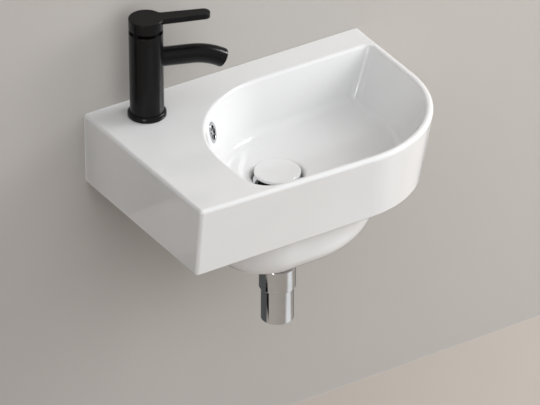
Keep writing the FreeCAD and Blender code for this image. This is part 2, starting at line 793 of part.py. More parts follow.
# Click plug: cap, seal, holder and plunger move together over a spring in the housing
keep("plug_cap", turned("plug_cap", [
    ("0", "-cap_under"),
    ("cap_radius", "-cap_under"),
    ("cap_radius", "-cap_crest - cap_crown"),
    ("0", "-cap_crest")], {1: "cap_crown", 2: "cap_edge_radius"}), waste_frame)
keep("plug_seal", tube("plug_seal", "holder_radius", "plug_seal_radius", "-plug_seal_under", "-cap_under"),
     waste_frame)
keep("cap_holder", turned("cap_holder", [
    ("plunger_tip_radius", "-holder_under"),
    ("holder_boss_radius", "-holder_under"),
    ("holder_boss_radius", "-holder_flange_under"),
    ("holder_flange_radius", "-holder_flange_under"),
    ("holder_flange_radius", "-plug_seal_under"),
    ("holder_radius", "-plug_seal_under"),
    ("holder_radius", "-cap_under"),
    ("0", "-cap_under"),
    ("0", "-plunger_tip_top"),
    ("plunger_tip_radius", "-plunger_tip_top")]), waste_frame)
keep("click_plunger", turned("click_plunger", [
    ("0", "-plunger_under"),
    ("plunger_radius", "-plunger_under"),
    ("plunger_radius", "-plunger_shoulder"),
    ("plunger_tip_radius", "-plunger_shoulder"),
    ("plunger_tip_radius", "-plunger_tip_top"),
    ("0", "-plunger_tip_top")]), waste_frame)
keep("click_housing", turned("click_housing", [
    ("0", "-housing_under"),
    ("housing_radius", "-housing_under"),
    ("housing_radius", "-spider_top"),
    ("spider_hub_radius", "-spider_top"),
    ("spider_hub_radius", "-housing_top"),
    ("plunger_radius + plunger_clearance", "-housing_top"),
    ("plunger_radius + plunger_clearance", "-housing_inside"),
    ("0", "-housing_inside")]), waste_frame)


def spring_shape():
    # Quarter-turn arcs that climb steadily from the housing's floor to the plunger's foot
    foot = -s.housing_inside + s.spring_wire_radius
    rise = s.housing_inside - s.plunger_under - 2 * s.spring_wire_radius
    radius = s.plunger_radius - s.spring_inset
    steps = int(s.spring_turns) * 4

    def point(step):
        turn = math.pi * step / 2
        return Vector(radius * math.cos(turn), radius * math.sin(turn), foot + rise * step / steps)

    edges = [Part.Arc(point(step), point(step + 0.5), point(step + 1)).toShape() for step in range(steps)]
    path = Part.Wire(edges)
    start = edges[0].tangentAt(edges[0].FirstParameter)
    section = Part.Wire(Part.makeCircle(s.spring_wire_radius, point(0), start))
    gap = rise / s.spring_turns - 2 * s.spring_wire_radius
    print("spring: least gap between turns %.2f mm" % gap)
    return path.makePipeShell([section], True, False)


feature("click_spring", spring_shape(), waste_frame)

# Tap: base, body, spout and aerator
keep("base_gasket", tube("base_gasket", "base_ring_bore", "base_ring_radius - base_gasket_inset", "0",
                         "base_gasket_thickness"), tap_frame)
keep("base_ring", tube("base_ring", "base_ring_bore", "base_ring_radius", "base_gasket_thickness",
                       "body_foot", {2: "base_ring_round"}), tap_frame)
column = turned("tap_column", [
    ("0", "body_foot"),
    ("tap_radius", "body_foot"),
    ("tap_radius", "body_top"),
    ("rim_bore_radius", "body_top"),
    ("rim_bore_radius", "nut_top"),
    ("nut_bore_radius", "nut_top"),
    ("nut_bore_radius", "nut_foot"),
    ("cartridge_radius + cartridge_clearance", "nut_foot"),
    ("cartridge_radius + cartridge_clearance", "cartridge_foot"),
    ("0", "cartridge_foot")], {2: "body_edge"})
bores = [
    cylinder("spout_socket_bore", "spout_radius", "tap_radius", "spout_socket", z="spout_height",
             along=Vector(1, 0, 0)),
    cylinder("outlet_cross_bore", "outlet_radius", "spout_socket - outlet_offset + overrun", "outlet_offset",
             z="spout_height", along=Vector(1, 0, 0)),
    cylinder("outlet_down_bore", "port_radius", "cartridge_foot - spout_height + overrun", "outlet_offset",
             z="spout_height"),
    cylinder("stud_bore", "stud_radius + thread_clearance", "stud_grip + overrun", "stud_offset",
             z="body_foot - overrun"),
]
for name, y in (("hot", "-inlet_half_spacing"), ("cold", "inlet_half_spacing")):
    bores.append(cylinder(name + "_inlet", "inlet_radius", "inlet_depth + overrun", "-inlet_offset", y,
                          "body_foot - overrun"))
    bores.append(cylinder(name + "_riser", "riser_radius", "cartridge_foot - port_depth - body_foot",
                          "-inlet_offset", y, "body_foot"))
    bores.append(cylinder(name + "_seat_port", "port_radius", "port_depth + 2 * overrun", "-inlet_offset", y,
                          "cartridge_foot - port_depth - overrun"))
keep("tap_body", cut("tap_body", column, *bores), tap_frame)


def spout_path(start):
    knee = Vector(s.spout_run, 0, s.spout_height)
    centre = knee - Vector(0, 0, s.spout_bend_radius)

    def on_bend(degrees):
        turn = math.radians(degrees)
        return centre + Vector(math.sin(turn), 0, math.cos(turn)) * s.spout_bend_radius

    line = Part.LineSegment(Vector(start, 0, s.spout_height), knee).toShape()
    bend = Part.Arc(knee, on_bend(s.spout_bend_degrees / 2), on_bend(s.spout_bend_degrees)).toShape()
    return Part.Wire([line, bend]), on_bend(s.spout_bend_degrees)


def spout_shape():
    path, end = spout_path(s.spout_socket)
    start = Vector(s.spout_socket, 0, s.spout_height)

    def pipe(radius):
        section = Part.Wire(Part.makeCircle(radius, start, Vector(1, 0, 0)))
        return path.makePipeShell([section], True, False)

    counterbore = Part.makeCylinder(s.aerator_bore_radius, s.aerator_depth + s.overrun,
                                    Vector(0, 0, -s.aerator_depth))
    counterbore.Placement = outlet_frame
    return pipe(s.spout_radius).cut([pipe(s.spout_radius - s.spout_wall), counterbore])


spout_end = spout_path(s.spout_socket)[1]
fall = math.radians(s.spout_bend_degrees)
outlet_frame = FreeCAD.Placement(spout_end, FreeCAD.Rotation(Vector(0, 0, 1),
                                                             Vector(math.cos(fall), 0, -math.sin(fall))))
aerator_frame = tap_frame.multiply(outlet_frame)
feature("spout", spout_shape(), tap_frame)
keep("aerator_housing", turned("aerator_housing", [
    ("aerator_bore_radius - aerator_wall", "aerator_washer_thickness - aerator_depth"),
    ("aerator_bore_radius - thread_clearance", "aerator_washer_thickness - aerator_depth"),
    ("aerator_bore_radius - thread_clearance", "0"),
    ("aerator_lip_radius", "0"),
    ("aerator_lip_radius", "aerator_lip"),
    ("aerator_bore_radius - aerator_wall", "aerator_lip")], {4: "aerator_step"}), aerator_frame)
keep("aerator_washer", tube("aerator_washer", "aerator_bore_radius - 2 * aerator_wall",
                            "aerator_bore_radius - thread_clearance", "-aerator_depth",
                            "aerator_washer_thickness - aerator_depth"), aerator_frame)


def aerator_insert_shape():
    # A plate with hexagonal rows of jets
    radius = s.aerator_bore_radius - s.aerator_wall
    thickness = s.aerator_insert_thickness
    foot = s.aerator_lip - s.aerator_inset - thickness
    plate = Part.makeCylinder(radius, thickness, Vector(0, 0, foot))
    jets = []
    rows = int(radius / s.aerator_hole_pitch) + 1
    for row in range(-rows, rows + 1):
        for step in range(-rows, rows + 1):
            spot = Vector((step + 0.5 * (row % 2)) * s.aerator_hole_pitch,
                          row * s.aerator_hole_pitch * math.sin(math.radians(60)),
                          foot - s.overrun)
            if math.hypot(spot.x, spot.y) < radius - 2 * s.aerator_hole_radius:
                jets.append(Part.makeCylinder(s.aerator_hole_radius, thickness + 2 * s.overrun, spot))
    return plate.cut(jets)


feature("aerator_insert", aerator_insert_shape(), aerator_frame)

# Tap fixing below the deck: one stud, a horseshoe gasket and plate, and a nut
stud = cylinder("stud_rod", "stud_radius", "body_foot + stud_grip + stud_drop", "stud_offset", z="-stud_drop")
keep("mounting_stud", group("mounting_stud", stud), tap_frame)


def horseshoe(name, thickness, foot):
    through = thickness + " + 2 * overrun"
    disc = cylinder(name + "_disc", "horseshoe_radius", thickness, z=foot)
    mouth = box(name + "_mouth", "horseshoe_radius + horseshoe_root", "horseshoe_mouth", through,
                "-horseshoe_radius", "-horseshoe_mouth / 2", foot + " - overrun")
    hole = cylinder(name + "_hole", "stud_radius + thread_clearance", through, "stud_offset",
                    z=foot + " - overrun")
    keep(name, cut(name, disc, mouth, hole), tap_frame)


gasket_foot = "-deck_thickness - horseshoe_gasket_thickness"
plate_under = gasket_foot + " - horseshoe_plate_thickness"
horseshoe("horseshoe_gasket", "horseshoe_gasket_thickness", gasket_foot)
horseshoe("horseshoe_plate", "horseshoe_plate_thickness", plate_under)
nut_under = plate_under + " - stud_nut_height"
stud_nut_blank = hexagon("stud_nut_blank", "stud_nut_corner_radius", "stud_nut_height", "stud_offset",
                         nut_under)
stud_nut_bore = cylinder("stud_nut_bore", "stud_radius + thread_clearance", "stud_nut_height + 2 * overrun",
                         "stud_offset", z=nut_under + " - overrun")
keep("stud_nut", cut("stud_nut", stud_nut_blank, stud_nut_bore), tap_frame)

# Cartridge: housing, seals, two ceramic discs, carrier, turret, pin, stem and nut
can = turned("cartridge_can", [
    ("0", "cartridge_foot"),
    ("cartridge_radius", "cartridge_foot"),
    ("cartridge_radius", "nut_foot"),
    ("turret_neck_radius + slot_clearance", "nut_foot"),
    ("turret_neck_radius + slot_clearance", "roof_foot"),
    ("cartridge_radius - housing_wall", "roof_foot"),
    ("cartridge_radius - housing_wall", "fixed_disc_foot"),
    ("0", "fixed_disc_foot")])
port_places = [("outlet_port", "outlet_offset", "0"), ("hot_port", "-inlet_offset", "-inlet_half_spacing"),
               ("cold_port", "-inlet_offset", "inlet_half_spacing")]
can_ports = []
disc_ports = []
seals = []
for name, x, y in port_places:
    port_under = "cartridge_foot - overrun"
    can_ports.append(cylinder(name, "port_radius", "housing_floor + 2 * overrun", x, y, port_under))
    can_ports.append(cylinder(name + "_groove", "port_seal_radius", "port_seal_height + overrun", x, y,
                              port_under))
    disc_ports.append(cylinder(name + "_in_disc", "port_radius", "fixed_disc_thickness + 2 * overrun", x, y,
                               "fixed_disc_foot - overrun"))
    seal_blank = cylinder(name + "_seal_blank", "port_seal_radius - thread_clearance", "port_seal_height",
                          x, y, "cartridge_foot")
    seal_bore = cylinder(name + "_seal_bore", "port_radius", "port_seal_height + 2 * overrun", x, y,
                         port_under)
    seals.append(cut(name + "_seal", seal_blank, seal_bore))
keep("cartridge_housing", cut("cartridge_housing", can, *can_ports), tap_frame)
keep("cartridge_seals", group("cartridge_seals", *seals), tap_frame)
fixed_blank = cylinder("fixed_disc_blank", "fixed_disc_radius", "fixed_disc_thickness", z="fixed_disc_foot")
keep("fixed_disc", cut("fixed_disc", fixed_blank, *disc_ports), tap_frame)
moving_blank = cylinder("moving_disc_blank", "moving_disc_radius", "moving_disc_thickness", "-disc_start",
                        z="moving_disc_foot")
disc_pocket = cylinder("disc_pocket", "port_radius", "moving_disc_thickness / 2 + overrun", "-disc_start",
                       z="moving_disc_foot - overrun")
keep("moving_disc", cut("moving_disc", moving_blank, disc_pocket), tap_frame)
carrier_blank = cylinder("carrier_blank", "moving_disc_radius", "carrier_thickness", "-disc_start",
                         z="carrier_foot")
carrier_socket = cylinder("carrier_socket", "stem_ball_radius + ball_clearance",
                          "carrier_thickness + overrun", z="carrier_foot")
keep("disc_carrier", cut("disc_carrier", carrier_blank, carrier_socket), tap_frame)
turret_parts = [
    cylinder("turret_base", "turret_radius", "turret_shoulder - turret_foot", z="turret_foot"),
    cylinder("turret_neck", "turret_neck_radius", "neck_top - turret_foot", z="turret_foot"),
    box("turret_ears", "2 * ear_half_width", "2 * ear_reach", "pivot_height - turret_foot", "-ear_half_width",
        "-ear_reach", "turret_foot"),
    cylinder("turret_ear_tops", "ear_half_width", "2 * ear_reach", y="-ear_reach", z="pivot_height",
             along=Vector(0, 1, 0)),
]
turret_slot = box("turret_slot", "stem_half_depth + slot_clearance + slot_reach",
                  "2 * stem_half_width + 2 * slot_clearance", "cap_top - turret_foot + overrun",
                  "-stem_half_depth - slot_clearance", "-stem_half_width - slot_clearance",
                  "turret_foot - overrun")
turret_pin_hole = cylinder("turret_pin_hole", "pin_radius", "2 * ear_reach + 2 * overrun",
                           y="-ear_reach - overrun", z="pivot_height", along=Vector(0, 1, 0))
turret_blank = joined("turret_blank", *turret_parts)
keep("cartridge_turret", cut("cartridge_turret", turret_blank, turret_slot, turret_pin_hole), tap_frame)
pin_rod = cylinder("pin_rod", "pin_radius", "2 * ear_reach", y="-ear_reach", z="pivot_height",
                   along=Vector(0, 1, 0))
keep("pivot_pin", group("pivot_pin", pin_rod), tap_frame)
ball = doc.addObject("Part::Sphere", "stem_ball")
bind(ball, {"Radius": "stem_ball_radius", "Placement.Base.z": "ball_height"})
stem_parts = [
    box("stem_bar", "2 * stem_half_depth", "2 * stem_half_width", "stem_top - stem_foot", "-stem_half_depth",
        "-stem_half_width", "stem_foot"),
    cylinder("stem_rod", "stem_rod_radius", "stem_foot - ball_height", z="ball_height"),
    ball,
]
stem_pin_hole = cylinder("stem_pin_hole", "pin_radius + pin_clearance", "2 * ear_reach", y="-ear_reach",
                         z="pivot_height", along=Vector(0, 1, 0))
keep("cartridge_stem", cut("cartridge_stem", joined("stem_blank", *stem_parts), stem_pin_hole), tap_frame)
keep("cartridge_nut", tube("cartridge_nut", "nut_opening_radius", "nut_bore_radius - thread_clearance",
                           "nut_foot", "nut_top"), tap_frame)


def handle_shape():
    # A hollow cap with a flat arm flush with its top
    cap = Part.makeCylinder(s.tap_radius, s.cap_height, Vector(0, 0, s.cap_foot))
    root = s.arm_root_width / 2
    tip = s.arm_tip_width / 2
    outline = [Vector(0, root, 0), Vector(0, -root, 0), Vector(s.arm_reach, -tip, 0),
               Vector(s.arm_reach, tip, 0)]
    corner = tip - s.body_edge
    arm = Part.Face(rounded_wire(outline, [0, 0, corner, corner], s.cap_top - s.arm_thickness))
    arm = arm.extrude(Vector(0, 0, s.arm_thickness))
    handle = cap.fuse(arm).removeSplitter()
    near = s.edge_match
    corners = [edge for edge in handle.Edges
               if abs(edge.BoundBox.ZLength - s.arm_thickness) < near and edge.BoundBox.XMax < s.tap_radius]
    handle = handle.makeFillet(s.arm_fillet, corners)
    handle = handle.makeFillet(s.handle_edge_radius, edges_at(handle, s.cap_top))
    handle = handle.makeChamfer(s.skirt_chamfer, edges_at(handle, s.cap_foot))
    hollow = Part.makeCylinder(s.tap_radius - s.skirt, s.plate_foot - s.cap_foot + s.overrun,
                               Vector(0, 0, s.cap_foot - s.overrun))
    socket = Part.makeBox(2 * s.stem_half_depth, 2 * s.stem_half_width, s.socket_depth + s.overrun,
                          Vector(-s.stem_half_depth, -s.stem_half_width, s.plate_foot - s.overrun))
    screw_hole = Part.makeCylinder(s.handle_screw_radius + s.thread_clearance, s.tap_radius + s.overrun,
                                   Vector(0, 0, s.screw_height), Vector(0, 1, 0))
    return handle.cut([hollow, socket, screw_hole])


feature("lever_handle", handle_shape(), tap_frame)
screw_rod = cylinder("screw_rod", "handle_screw_radius", "handle_screw_length", y="stem_half_width",
                     z="screw_height", along=Vector(0, 1, 0))
keep("handle_screw", group("handle_screw", screw_rod), tap_frame)
plug_rod = cylinder("plug_rod", "handle_screw_radius", "screw_plug_length",
                    y="tap_radius - screw_plug_inset - screw_plug_length", z="screw_height",
                    along=Vector(0, 1, 0))
keep("screw_plug", group("screw_plug", plug_rod), tap_frame)

doc.recompute()
faults = [item.Name for item in doc.Objects if "Invalid" in item.State or "Error" in item.State]
for node, piece in nodes.items():
    if piece.Shape.isNull() or not piece.Shape.isValid() or not piece.Shape.Solids:
        faults.append(node)
if faults:
    raise RuntimeError("faults in " + ", ".join(faults))

os.makedirs("parts", exist_ok=True)
for node, piece in nodes.items():
    piece.Shape.exportStep("parts/%s.step" % node)
    print("%-20s %d solid(s) %9.0f mm3" % (node, len(piece.Shape.Solids), piece.Shape.Volume))
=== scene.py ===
import math

import bmesh
import bpy
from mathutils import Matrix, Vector


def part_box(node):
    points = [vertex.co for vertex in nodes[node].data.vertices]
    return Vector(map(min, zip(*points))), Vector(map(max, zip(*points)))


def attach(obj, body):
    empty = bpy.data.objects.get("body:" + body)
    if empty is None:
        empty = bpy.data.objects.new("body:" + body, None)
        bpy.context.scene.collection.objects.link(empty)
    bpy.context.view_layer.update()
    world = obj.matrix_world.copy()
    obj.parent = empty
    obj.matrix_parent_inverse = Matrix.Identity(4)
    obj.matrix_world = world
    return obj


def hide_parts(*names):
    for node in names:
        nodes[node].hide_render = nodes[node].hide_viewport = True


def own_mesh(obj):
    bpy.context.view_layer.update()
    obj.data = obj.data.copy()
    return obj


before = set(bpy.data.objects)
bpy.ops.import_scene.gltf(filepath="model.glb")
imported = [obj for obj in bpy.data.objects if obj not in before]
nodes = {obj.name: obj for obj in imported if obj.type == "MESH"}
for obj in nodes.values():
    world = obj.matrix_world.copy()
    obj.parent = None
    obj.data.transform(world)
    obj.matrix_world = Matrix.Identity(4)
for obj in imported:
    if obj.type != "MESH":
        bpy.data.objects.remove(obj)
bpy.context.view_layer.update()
mm = 0.001
print("frame loaded:", len(nodes), "nodes")


# small helpers

def linear(hexText):
    # sRGB hex to the linear colour that sockets take
    channels = [int(hexText[i:i + 2], 16) / 255 for i in (1, 3, 5)]
    return [c / 12.92 if c <= 0.04045 else ((c + 0.055) / 1.055) ** 2.4 for c in channels] + [1]


def perMm(size):
    return 1 / (size * mm)  # a noise scale that gives features of this size


def addNode(tree, kind, inputs=None, **settings):
    node = tree.nodes.new(kind)
    for name, value in settings.items():
        setattr(node, name, value)
    for name, value in (inputs or {}).items():
        if isinstance(value, bpy.types.NodeSocket):
            tree.links.new(value, node.inputs[name])
        else:
            node.inputs[name].default_value = value
    return node


def newMaterial(name):
    material = bpy.data.materials.new(name)
    material.use_nodes = True
    tree = material.node_tree
    tree.nodes.clear()
    place = addNode(tree, "ShaderNodeTexCoord").outputs["Object"]  # metres, in the part's own frame
    return material, tree, place


def finishMaterial(tree, inputs):
    shader = addNode(tree, "ShaderNodeBsdfPrincipled", inputs)
    addNode(tree, "ShaderNodeOutputMaterial", {"Surface": shader.outputs["BSDF"]})


def pieceFrom(mesh, name):
    # a finished bmesh becomes an object of the scene
    bmesh.ops.recalc_face_normals(mesh, faces=mesh.faces)
    data = bpy.data.meshes.new(name)
    mesh.to_mesh(data)
    mesh.free()
    piece = bpy.data.objects.new(name, data)
    bpy.context.collection.objects.link(piece)
    return piece


# materials

china = {
    "glaze": "#e4e4e4",
    "glazeThin": "#dfdfdf",
    "bisque": "#ddd5c6",
    "roughness": (0.05, 0.1),
    "bareRoughness": 0.85,
    "ior": 1.52,
    "flowMm": 16,
    "flowDepthMm": 0.035,
    "peelMm": 2.4,
    "peelDepthMm": 0.0015,
    "cloudMm": 70,
    "bisqueGrainMm": 1.6,
    "bisqueGrainDepthMm": 0.12,
    "bareMm": 0.4,
}


def glazedVitreousChina():
    # fired clay under a clear glass glaze: bright and glossy, with a slow ripple where the glaze
    # flowed, and bare chalky clay on the ground face that meets the wall
    material, tree, place = newMaterial("glazedVitreousChina")
    split = addNode(tree, "ShaderNodeSeparateXYZ", {"Vector": place})
    bare = addNode(tree, "ShaderNodeMath", {
        0: split.outputs["Y"], 1: -china["bareMm"] * mm,
    }, operation="GREATER_THAN").outputs[0]
    cloud = addNode(tree, "ShaderNodeTexNoise", {
        "Vector": place, "Scale": perMm(china["cloudMm"]), "Detail": 3,
    })
    flow = addNode(tree, "ShaderNodeTexNoise", {
        "Vector": place, "Scale": perMm(china["flowMm"]), "Detail": 1,
    })
    peel = addNode(tree, "ShaderNodeTexNoise", {
        "Vector": place, "Scale": perMm(china["peelMm"]), "Detail": 2,
    })
    grain = addNode(tree, "ShaderNodeTexNoise", {
        "Vector": place, "Scale": perMm(china["bisqueGrainMm"]), "Detail": 6,
    })
    glaze = addNode(tree, "ShaderNodeMix", {
        0: cloud.outputs["Fac"], 6: linear(china["glaze"]), 7: linear(china["glazeThin"]),
    }, data_type="RGBA")
    colour = addNode(tree, "ShaderNodeMix", {
        0: bare, 6: glaze.outputs[2], 7: linear(china["bisque"]),
    }, data_type="RGBA")
    gloss = addNode(tree, "ShaderNodeMapRange", {
        "Value": cloud.outputs["Fac"], "To Min": china["roughness"][0],
        "To Max": china["roughness"][1],
    })
    roughness = addNode(tree, "ShaderNodeMix", {
        0: bare, 2: gloss.outputs[0], 3: china["bareRoughness"],
    })
    ripple = addNode(tree, "ShaderNodeBump", {
        "Height": flow.outputs["Fac"], "Distance": china["flowDepthMm"] * mm,
    })
    fine = addNode(tree, "ShaderNodeBump", {
        "Height": peel.outputs["Fac"], "Normal": ripple.outputs["Normal"],
        "Distance": china["peelDepthMm"] * mm,
    })
    chalk = addNode(tree, "ShaderNodeBump", {
        "Height": grain.outputs["Fac"], "Normal": fine.outputs["Normal"], "Strength": bare,
        "Distance": china["bisqueGrainDepthMm"] * mm,
    })
    finishMaterial(tree, {
        "Base Color": colour.outputs[2], "Roughness": roughness.outputs[0], "IOR": china["ior"],
        "Normal": chalk.outputs["Normal"],
    })
    return material


blackCoat = {
    "colour": "#0b0b0c",
    "colourWorn": "#101011",
    "roughness": (0.2, 0.28),
    "ior": 1.5,
    "specular": 0.2,  # the dry coat gives back less than its bare resin would
    "grainMm": 0.6,  # the real grain is about 0.1 mm, drawn coarser to show
    "grainDepthMm": 0.003,
    "driftMm": 22,
}


def satinBlackCoat():
    # sprayed and baked black coat on brass: a soft broad sheen, a dry fine grain
    # and slow drifts in gloss
    material, tree, place = newMaterial("satinBlackCoat")
    drift = addNode(tree, "ShaderNodeTexNoise", {
        "Vector": place, "Scale": perMm(blackCoat["driftMm"]), "Detail": 4,
    })
    grain = addNode(tree, "ShaderNodeTexNoise", {
        "Vector": place, "Scale": perMm(blackCoat["grainMm"]), "Detail": 3,
    })
    colour = addNode(tree, "ShaderNodeMix", {
        0: drift.outputs["Fac"], 6: linear(blackCoat["colour"]), 7: linear(blackCoat["colourWorn"]),
    }, data_type="RGBA")
    gloss = addNode(tree, "ShaderNodeMapRange", {
        "Value": drift.outputs["Fac"], "To Min": blackCoat["roughness"][0],
        "To Max": blackCoat["roughness"][1],
    })
    bump = addNode(tree, "ShaderNodeBump", {
        "Height": grain.outputs["Fac"], "Distance": blackCoat["grainDepthMm"] * mm,
    })
    finishMaterial(tree, {
        "Base Color": colour.outputs[2], "Roughness": gloss.outputs[0], "IOR": blackCoat["ior"],
        "Specular IOR Level": blackCoat["specular"], "Normal": bump.outputs["Normal"],
    })
    return material


chrome = {
    "colour": "#d4d6d8",
    "colourDull": "#c6c8ca",
    "roughness": (0.03, 0.09),
    "bloomMm": 18,
    "buffMm": (0.5, 9),  # buffing marks' spacing up the axis and length, drawn coarser to show
    "buffDepthMm": 0.0006,
}


def polishedChromePlate():
    # bright chromium on buffed brass: mirror-like and faintly blue, with hairline buffing marks
    # and a thin bloom
    material, tree, place = newMaterial("polishedChromePlate")
    buffUp, buffRound = chrome["buffMm"]
    stretch = addNode(tree, "ShaderNodeMapping", {
        "Vector": place,
        "Scale": (perMm(buffRound), perMm(buffRound), perMm(buffUp)),
    })
    buff = addNode(tree, "ShaderNodeTexNoise", {
        "Vector": stretch.outputs["Vector"], "Scale": 1, "Detail": 3,
    })
    bloom = addNode(tree, "ShaderNodeTexNoise", {
        "Vector": place, "Scale": perMm(chrome["bloomMm"]), "Detail": 4,
    })
    colour = addNode(tree, "ShaderNodeMix", {
        0: bloom.outputs["Fac"], 6: linear(chrome["colour"]), 7: linear(chrome["colourDull"]),
    }, data_type="RGBA")
    gloss = addNode(tree, "ShaderNodeMapRange", {
        "Value": bloom.outputs["Fac"], "To Min": chrome["roughness"][0],
        "To Max": chrome["roughness"][1],
    })
    bump = addNode(tree, "ShaderNodeBump", {
        "Height": buff.outputs["Fac"], "Distance": chrome["buffDepthMm"] * mm,
    })
    finishMaterial(tree, {
        "Base Color": colour.outputs[2], "Metallic": 1, "Roughness": gloss.outputs[0],
        "Normal": bump.outputs["Normal"],
    })
    return material


rubber = {
    "colour": "#1d1d1e",
    "dusty": "#2b2a29",
    "roughness": (0.68, 0.85),
    "ior": 1.52,
    "grainMm": 0.5,  # mould texture, drawn coarser to show
    "grainDepthMm": 0.02,
    "dustMm": 7,
}


def mouldedRubber():
    # moulded black rubber: dull, with a dusty bloom in patches and the mould's faint texture
    material, tree, place = newMaterial("mouldedRubber")
    dust = addNode(tree, "ShaderNodeTexNoise", {
        "Vector": place, "Scale": perMm(rubber["dustMm"]), "Detail": 5,
    })
    grain = addNode(tree, "ShaderNodeTexNoise", {
        "Vector": place, "Scale": perMm(rubber["grainMm"]), "Detail": 2,
    })
    colour = addNode(tree, "ShaderNodeMix", {
        0: dust.outputs["Fac"], 6: linear(rubber["colour"]), 7: linear(rubber["dusty"]),
    }, data_type="RGBA")
    gloss = addNode(tree, "ShaderNodeMapRange", {
        "Value": dust.outputs["Fac"], "To Min": rubber["roughness"][0],
        "To Max": rubber["roughness"][1],
    })
    bump = addNode(tree, "ShaderNodeBump", {
        "Height": grain.outputs["Fac"], "Distance": rubber["grainDepthMm"] * mm,
    })
    finishMaterial(tree, {
        "Base Color": colour.outputs[2], "Roughness": gloss.outputs[0], "IOR": rubber["ior"],
        "Normal": bump.outputs["Normal"],
    })
    return material


acetal = {
    "colours": {"mouldedWhiteAcetal": ("#e9e7e1", "#dfdcd4"),
                "mouldedGreyAcetal": ("#8f9194", "#85878a"),
                "mouldedBlackAcetal": ("#161617", "#1d1d1e")},
    "roughness": (0.32, 0.46),
    "ior": 1.48,
    "flowMm": 12,
    "skinMm": 0.8,  # spark-eroded mould skin, drawn coarser to show
    "skinDepthMm": 0.01,
    "glow": 0.15,
    "glowMm": 1.2,
}


def mouldedAcetal(name):
    # injection-moulded acetal: waxy and slightly see-through at thin edges, with flow clouds
    # and a fine mould skin
    material, tree, place = newMaterial(name)
    light, dark = acetal["colours"][name]
    flow = addNode(tree, "ShaderNodeTexNoise", {
        "Vector": place, "Scale": perMm(acetal["flowMm"]), "Detail": 4,
    })
    skin = addNode(tree, "ShaderNodeTexNoise", {
        "Vector": place, "Scale": perMm(acetal["skinMm"]), "Detail": 2,
    })
    colour = addNode(tree, "ShaderNodeMix", {
        0: flow.outputs["Fac"], 6: linear(light), 7: linear(dark),
    }, data_type="RGBA")
    gloss = addNode(tree, "ShaderNodeMapRange", {
        "Value": flow.outputs["Fac"], "To Min": acetal["roughness"][0],
        "To Max": acetal["roughness"][1],
    })
    bump = addNode(tree, "ShaderNodeBump", {
        "Height": skin.outputs["Fac"], "Distance": acetal["skinDepthMm"] * mm,
    })
    finishMaterial(tree, {
        "Base Color": colour.outputs[2], "Roughness": gloss.outputs[0], "IOR": acetal["ior"],
        "Subsurface Weight": acetal["glow"], "Subsurface Scale": acetal["glowMm"] * mm,
        "Normal": bump.outputs["Normal"],
    })
    return material


brass = {
    "colour": "#e0bf7a",
    "tarnish": "#b98f4d",
    "roughness": (0.18, 0.4),
    "tarnishMm": 9,
    "feedMm": 1.6,  # a lathe's feed is about 0.2 mm a turn, drawn coarser to show
    "feedDepthMm": 0.02,
    "feedWobble": 0.6,
}


def turnedBrass():
    # brass straight from the lathe: warm yellow, with fine rings from the tool's feed
    # and brown tarnish in patches
    material, tree, place = newMaterial("turnedBrass")
    tarnish = addNode(tree, "ShaderNodeTexNoise", {
        "Vector": place, "Scale": perMm(brass["tarnishMm"]), "Detail": 6,
    })
    # a wave's bands lie pi / 10 apart at a scale of 1
    feed = addNode(tree, "ShaderNodeTexWave", {
        "Vector": place, "Scale": perMm(brass["feedMm"]) * math.pi / 10,
        "Distortion": brass["feedWobble"], "Detail": 1,
    }, wave_type="BANDS", bands_direction="Z")
    colour = addNode(tree, "ShaderNodeMix", {
        0: tarnish.outputs["Fac"], 6: linear(brass["colour"]), 7: linear(brass["tarnish"]),
    }, data_type="RGBA")
    gloss = addNode(tree, "ShaderNodeMapRange", {
        "Value": tarnish.outputs["Fac"], "To Min": brass["roughness"][0],
        "To Max": brass["roughness"][1],
    })
    bump = addNode(tree, "ShaderNodeBump", {
        "Height": feed.outputs["Fac"], "Distance": brass["feedDepthMm"] * mm,
    })
    finishMaterial(tree, {
        "Base Color": colour.outputs[2], "Metallic": 1, "Roughness": gloss.outputs[0],
        "Normal": bump.outputs["Normal"],
    })
    return material


steel = {
    "colour": "#c9cbcc",
    "colourDull": "#a4a6a4",
    "roughness": (0.25, 0.48),
    "spangleMm": 3.5,
    "scratchMm": 0.7,
    "scratchDepthMm": 0.008,
}


def zincPlatedSteel():
    # steel with a thin electroplated zinc: grey-silver, cloudy, with small spangles
    # and handling marks
    material, tree, place = newMaterial("zincPlatedSteel")
    spangle = addNode(tree, "ShaderNodeTexVoronoi", {
        "Vector": place, "Scale": perMm(steel["spangleMm"]),
    }, feature="SMOOTH_F1")
    marks = addNode(tree, "ShaderNodeTexNoise", {
        "Vector": place, "Scale": perMm(steel["scratchMm"]), "Detail": 4,
    })
    colour = addNode(tree, "ShaderNodeMix", {
        0: spangle.outputs["Distance"], 6: linear(steel["colour"]), 7: linear(steel["colourDull"]),
    }, data_type="RGBA")
    gloss = addNode(tree, "ShaderNodeMapRange", {
        "Value": spangle.outputs["Distance"], "To Min": steel["roughness"][0],
        "To Max": steel["roughness"][1],
    })
    bump = addNode(tree, "ShaderNodeBump", {
        "Height": marks.outputs["Fac"], "Distance": steel["scratchDepthMm"] * mm,
    })
    finishMaterial(tree, {
        "Base Color": colour.outputs[2], "Metallic": 1, "Roughness": gloss.outputs[0],
        "Normal": bump.outputs["Normal"],
    })
    return material


alumina = {
    "colour": "#ebe6da",
    "speck": "#d6cfc0",
    "roughness": (0.22, 0.36),
    "ior": 1.76,
    "grainMm": 0.5,  # fired grain is finer than 0.05 mm, drawn coarser to show
    "grainDepthMm": 0.004,
}


